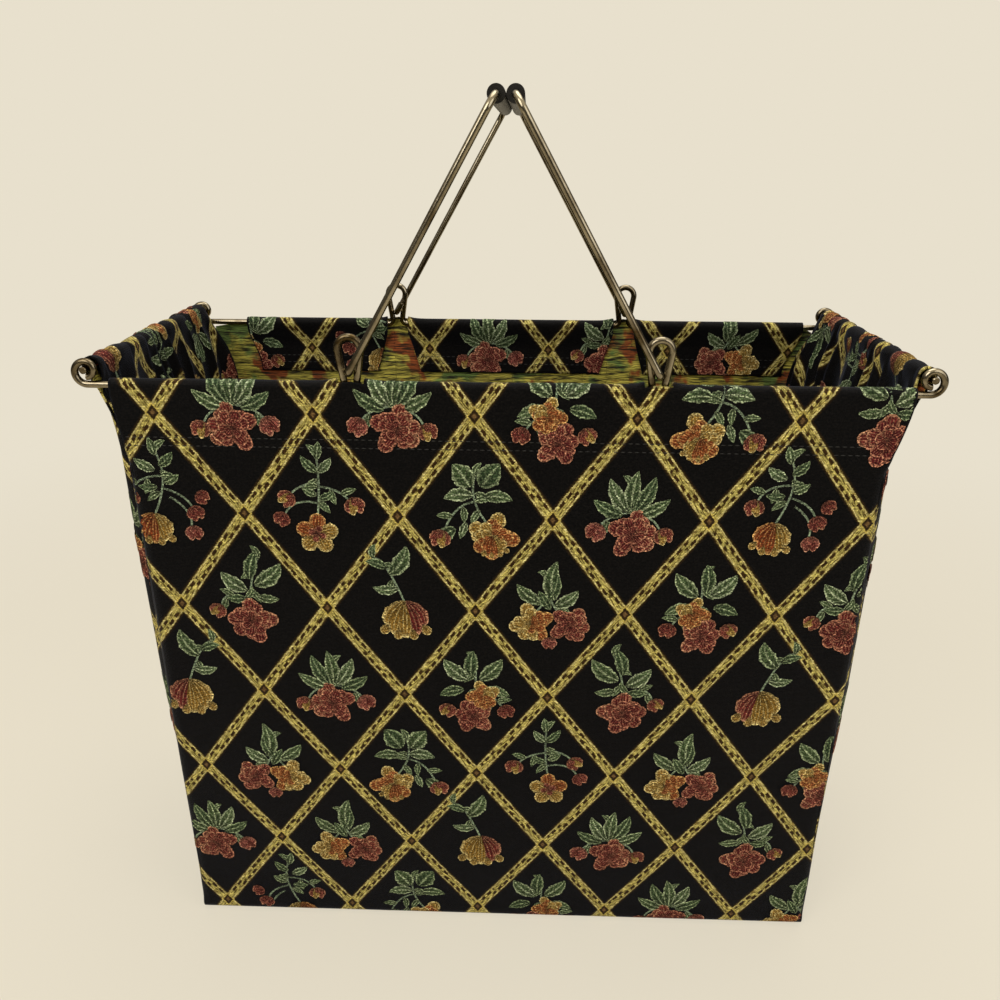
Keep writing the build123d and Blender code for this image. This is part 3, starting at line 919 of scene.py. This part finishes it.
def embroider(name, shapes, surface, has_cloth, shift, threads=(leaf_weft, petal_weft)):
    """Lays flat shapes on a cloth as slightly domed patches, leaving out what falls off its edges."""
    nudge = 0.05
    points, faces, cloth, figure, dyes, edges, kinds = [], [], [], [], [], [], []
    for grid, lift, dye_pair, is_leaf in shapes:
        across, pattern = grid[..., 0], grid[..., 1]
        at = surface(across, pattern)
        out = np.cross(surface(across + nudge, pattern) - at, surface(across, pattern + nudge) - at)
        out /= np.linalg.norm(out, axis=-1, keepdims=True) + 1e-12
        # Under the base the threads are pressed almost flat.
        raised = 0.04 + 0.96 * ease(at[..., 2], 2.0, 9.0)
        dome = thread_rest + raised * (lift + thread_dome * (1.0 - grid[..., 2] ** 2))
        at = at + out * dome[..., None]
        quads = grid_quads(*grid.shape[:2]) + len(points)
        points.extend(at.reshape(-1, 3) / 1000.0)
        cloth.extend((grid[..., :2] - shift).reshape(-1, 2))
        figure.extend(grid[..., 2:].reshape(-1, 2))
        dyes.extend([dye_pair[0]] * across.size)
        edges.extend([dye_pair[1]] * across.size)
        ok = has_cloth(across, pattern)
        ok = ok[:-1, :-1] & ok[1:, :-1] & ok[1:, 1:] & ok[:-1, 1:]
        if np.dot(np.cross(at[1, 0] - at[0, 0], at[0, 1] - at[0, 0]), out[0, 0]) < 0:
            quads = quads[..., ::-1]
        chosen = quads[ok]
        faces.extend(chosen.tolist())
        kinds.extend([0 if is_leaf else 1] * len(chosen))
    mesh = bpy.data.meshes.new(name)
    mesh.from_pydata([tuple(p) for p in points], [], faces)
    for thread in threads:
        mesh.materials.append(thread)
    mesh.polygons.foreach_set("material_index", np.array(kinds, np.int32))
    mark_points(mesh, "cloth", np.array(cloth))
    mark_points(mesh, "figure", np.array(figure))
    for attribute, values in (("dye", dyes), ("edge_dye", edges)):
        colours = np.array([dye(v) for v in values], np.float32)
        mesh.attributes.new(attribute, "FLOAT_COLOR", "POINT").data.foreach_set("color", colours.ravel())
    piece = smooth_piece(name, mesh)
    piece.select_set(False)
    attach(piece, "bag")
    return piece


def sprig_shapes(kind, x, pattern, mirrored, crest):
    """The shapes of one sprig, placed in the pattern; shapes that cross a rolled edge are finer."""
    leaves, stems, flowers = sprigs[kind]
    fine = 2 if abs(pattern - crest) < crest_reach else 1
    made = []
    for points in stems:
        made.append((stem(points, stem_width, fine), stem_dyes, True))
    # Small leaves, 8 mm by 3.4 mm, along the first two stems.
    for points in stems[:2]:
        start, mid, end = (np.array(p, float) for p in points)
        way = math.degrees(math.atan2(*(end - start)[::-1]))
        for spot, lean in (((start + 2 * mid) / 3, 58.0), ((2 * mid + end) / 3, -58.0), (start, 170.0)):
            made.append((shape(spot, way + lean, 8.0, 3.4, -lean * 0.4, fine=fine), leaf_dyes[0], True))
    for k, (lx, ly, turn, length, width, bend) in enumerate(leaves):
        leaf = shape((lx, ly), turn - bend * 0.3, length, 0.95 * width, 1.7 * bend, fine=fine)
        made.append((leaf, leaf_dyes[k % 3], True))
    for flower in flowers:
        for base, turn, length, width, bend, front, point, dye_pair in bloom(*flower):
            made.append((shape(base, turn, length, width, bend, front, point, fine), dye_pair, False))
    placed = []
    for layer, (grid, dye_pair, is_leaf) in enumerate(made):
        grid = grid.copy()
        grid[..., 0] = x + sprig_scale * grid[..., 0] * (-1 if mirrored else 1)
        grid[..., 1] = pattern + sprig_rise + sprig_scale * grid[..., 1]
        placed.append((grid, layer_lift * layer, dye_pair, is_leaf))
    return placed


sprig_overhang = 30.0
sprig_limit = 225.0
front_low = -20.0
base_low = -230.0
sprig_groups = {"front_sprigs": [], "base_sprigs": [], "back_sprigs": []}
for row in range(-1, 18):
    pattern = knot_height - row * diamond_height / 2
    if not strip_pattern[-1] - sprig_overhang < pattern < strip_pattern[0] + sprig_overhang:
        continue
    group = "front_sprigs" if pattern > front_low else "base_sprigs" if pattern > base_low else "back_sprigs"
    crest = front_crest if pattern > 0 else back_crest
    for place in range(-3, 4):
        x = knot_x + (place + (0.5 if row % 2 == 0 else 0.0)) * diamond_width
        if abs(x) > sprig_limit:
            continue
        kind = sprig_names[(3 * place + 5 * row) % len(sprig_names)]
        if row in front_rows and -2 <= place <= 2:
            kind = front_rows[row][place + 2]
        sprig_groups[group] += sprig_shapes(kind, x, pattern, (place + row // 2) % 2 == 1, crest)
for name, shapes in sprig_groups.items():
    embroider(name, shapes, strip_at, strip_has, (knot_x, knot_height))


# Two rows of lockstitch in dark thread hold each hem, 4.5 mm apart and 3.4 mm to a stitch.
# They show on the outside and on the facing, and each lies in a slight hollow.
sewing_thread = bare_material("dark_cotton_sewing_thread")
place = node(sewing_thread, "TexCoord", {}).outputs["Object"]
twist = node(sewing_thread, "TexNoise", {"Vector": place, "Scale": 1500.0, "Detail": 2.0})
tone = node(sewing_thread, "Mix", {"Factor": twist, "A": dye("#090808"), "B": dye("#181614")}, data_type="RGBA")
strand = node(sewing_thread, "BsdfPrincipled", {"Base Color": tone, "Roughness": 0.7})
node(sewing_thread, "OutputMaterial", {"Surface": strand})
stitch_reach = 188.0
stitch_pitch = 3.4
stitch_length = 2.3
stitch_width = 0.6
stitch_lift = 0.05
stitch_dyes = ("#26231F", "#26231F")
stitch_drops = (29.5, 34.0)
facing_rise = 3.0
stitch_rows = []
for top, sense in ((front_crest, 1.0), (back_crest, -1.0)):
    for below in stitch_drops:
        stitch_rows += [top - sense * below, top + sense * (below - facing_rise)]
stitches = []
for pattern in stitch_rows:
    for x in np.arange(-stitch_reach, stitch_reach, stitch_pitch):
        stitch = shape((x, pattern), 0.0, stitch_length, stitch_width, 0.0, 1.0, 0.4)[::5, ::2]
        stitches.append((stitch, stitch_lift, stitch_dyes, True))
both_threads = (sewing_thread, sewing_thread)
hem_stitches = embroider("hem_stitches", stitches, strip_at, strip_has, (knot_x, knot_height), both_threads)

for side, name in ((-1, "left_gusset_sprigs"), (1, "right_gusset_sprigs")):
    shapes = []
    for row in range(-2, 7):
        pattern = gusset_knot_height - row * diamond_height / 2
        for place in range(-2, 3):
            x = gusset_knot_y + (place + (0.5 if row % 2 == 0 else 0.0)) * diamond_width
            kind = sprig_names[(5 * place + 3 * row + side) % len(sprig_names)]
            shapes += sprig_shapes(kind, x, pattern, (place + row) % 2 == 1, wire_height)
    gusset_knot = (gusset_knot_y, gusset_knot_height)
    made = embroider(name, shapes, lambda a, p: gusset_at(a, p, side), gusset_has, gusset_knot)


# The stage: a pale cream floor and surround, three soft lamps, and a camera that looks
# down a little at the front, as a person would from a step away.
cream = "#E8E0CD"
bpy.ops.mesh.primitive_plane_add(size=8.0, location=(0.0, 0.0, 0.0))
floor = bpy.context.active_object
floor.name = "floor"
paper = bare_material("cream_paper_floor")
place = node(paper, "TexCoord", {}).outputs["Object"]
far = node(paper, "VectorMath", {0: place}, operation="LENGTH")
fade = node(
    paper,
    "MapRange",
    {"Value": far.outputs["Value"], "From Min": 0.45, "From Max": 1.1, "To Min": 0.72},
    interpolation_type="SMOOTHSTEP",
)
rays = node(paper, "LightPath", {})
seen = node(paper, "Math", {0: rays.outputs["Is Camera Ray"], 1: fade}, operation="MULTIPLY")
matt = node(paper, "BsdfDiffuse", {"Color": dye("#DED6C2")})
glow = node(paper, "Emission", {"Color": dye(cream), "Strength": 1.0})
blended = node(paper, "MixShader", {0: seen, 1: matt, 2: glow})
node(paper, "OutputMaterial", {"Surface": blended})
floor.data.materials.append(paper)

world = bpy.data.worlds.new("cream_surround")
bpy.context.scene.world = world
world.use_nodes = True
world.node_tree.nodes.clear()
rays = node(world, "LightPath", {})
level_of = node(world, "MapRange", {"Value": rays.outputs["Is Camera Ray"], "To Min": 0.45, "To Max": 1.0})
way = node(world, "TexCoord", {})
way_up = node(world, "SeparateXYZ", {"Vector": way.outputs["Generated"]})
mirrored_room = node(
    world,
    "MapRange",
    {"Value": way_up.outputs["Z"], "From Min": 0.25, "From Max": 0.8, "To Min": 0.16, "To Max": 1.5},
)
strength = node(world, "Mix", {"Factor": rays.outputs["Is Glossy Ray"], "A": level_of, "B": mirrored_room})
sky = node(world, "Background", {"Color": dye(cream), "Strength": strength})
node(world, "OutputWorld", {"Surface": sky})

for name, at, size, power in (
    ("window", (-0.9, -1.3, 1.5), 1.4, 22.0),
    ("fill", (1.2, -1.0, 1.0), 1.4, 10.0),
    ("overhead", (0.1, 0.3, 1.7), 1.2, 14.0),
):
    bpy.ops.object.light_add(type="AREA", location=at)
    lamp = bpy.context.active_object
    lamp.name = name
    lamp.data.shape = "DISK"
    lamp.data.size = size
    lamp.data.energy = power
    lamp.data.color = (1.0, 0.97, 0.92)
    lamp.rotation_euler = (Vector((0.0, 0.0, 0.2)) - Vector(at)).to_track_quat("-Z", "Y").to_euler()

camera_place = Vector((0.00989, -0.47702, 0.4432))
pitch = math.radians(22.437)
yaw = math.radians(-1.646)
roll_angle = math.radians(0.298)
ahead = Vector((math.sin(yaw) * math.cos(pitch), math.cos(yaw) * math.cos(pitch), -math.sin(pitch)))
right = Vector((math.cos(yaw), -math.sin(yaw), 0.0))
above = right.cross(ahead)
right, above = (
    right * math.cos(roll_angle) + above * math.sin(roll_angle),
    above * math.cos(roll_angle) - right * math.sin(roll_angle),
)
camera_data = bpy.data.cameras.new("camera")
camera_data.sensor_width = 36.0
camera_data.lens = 30.916
camera = bpy.data.objects.new("camera", camera_data)
bpy.context.scene.collection.objects.link(camera)
camera.matrix_world = Matrix(
    (
        (right.x, above.x, -ahead.x, camera_place.x),
        (right.y, above.y, -ahead.y, camera_place.y),
        (right.z, above.z, -ahead.z, camera_place.z),
        (0.0, 0.0, 0.0, 1.0),
    )
)
bpy.context.scene.camera = camera
bpy.context.scene.view_settings.view_transform = "Standard"

bpy.context.view_layer.update()
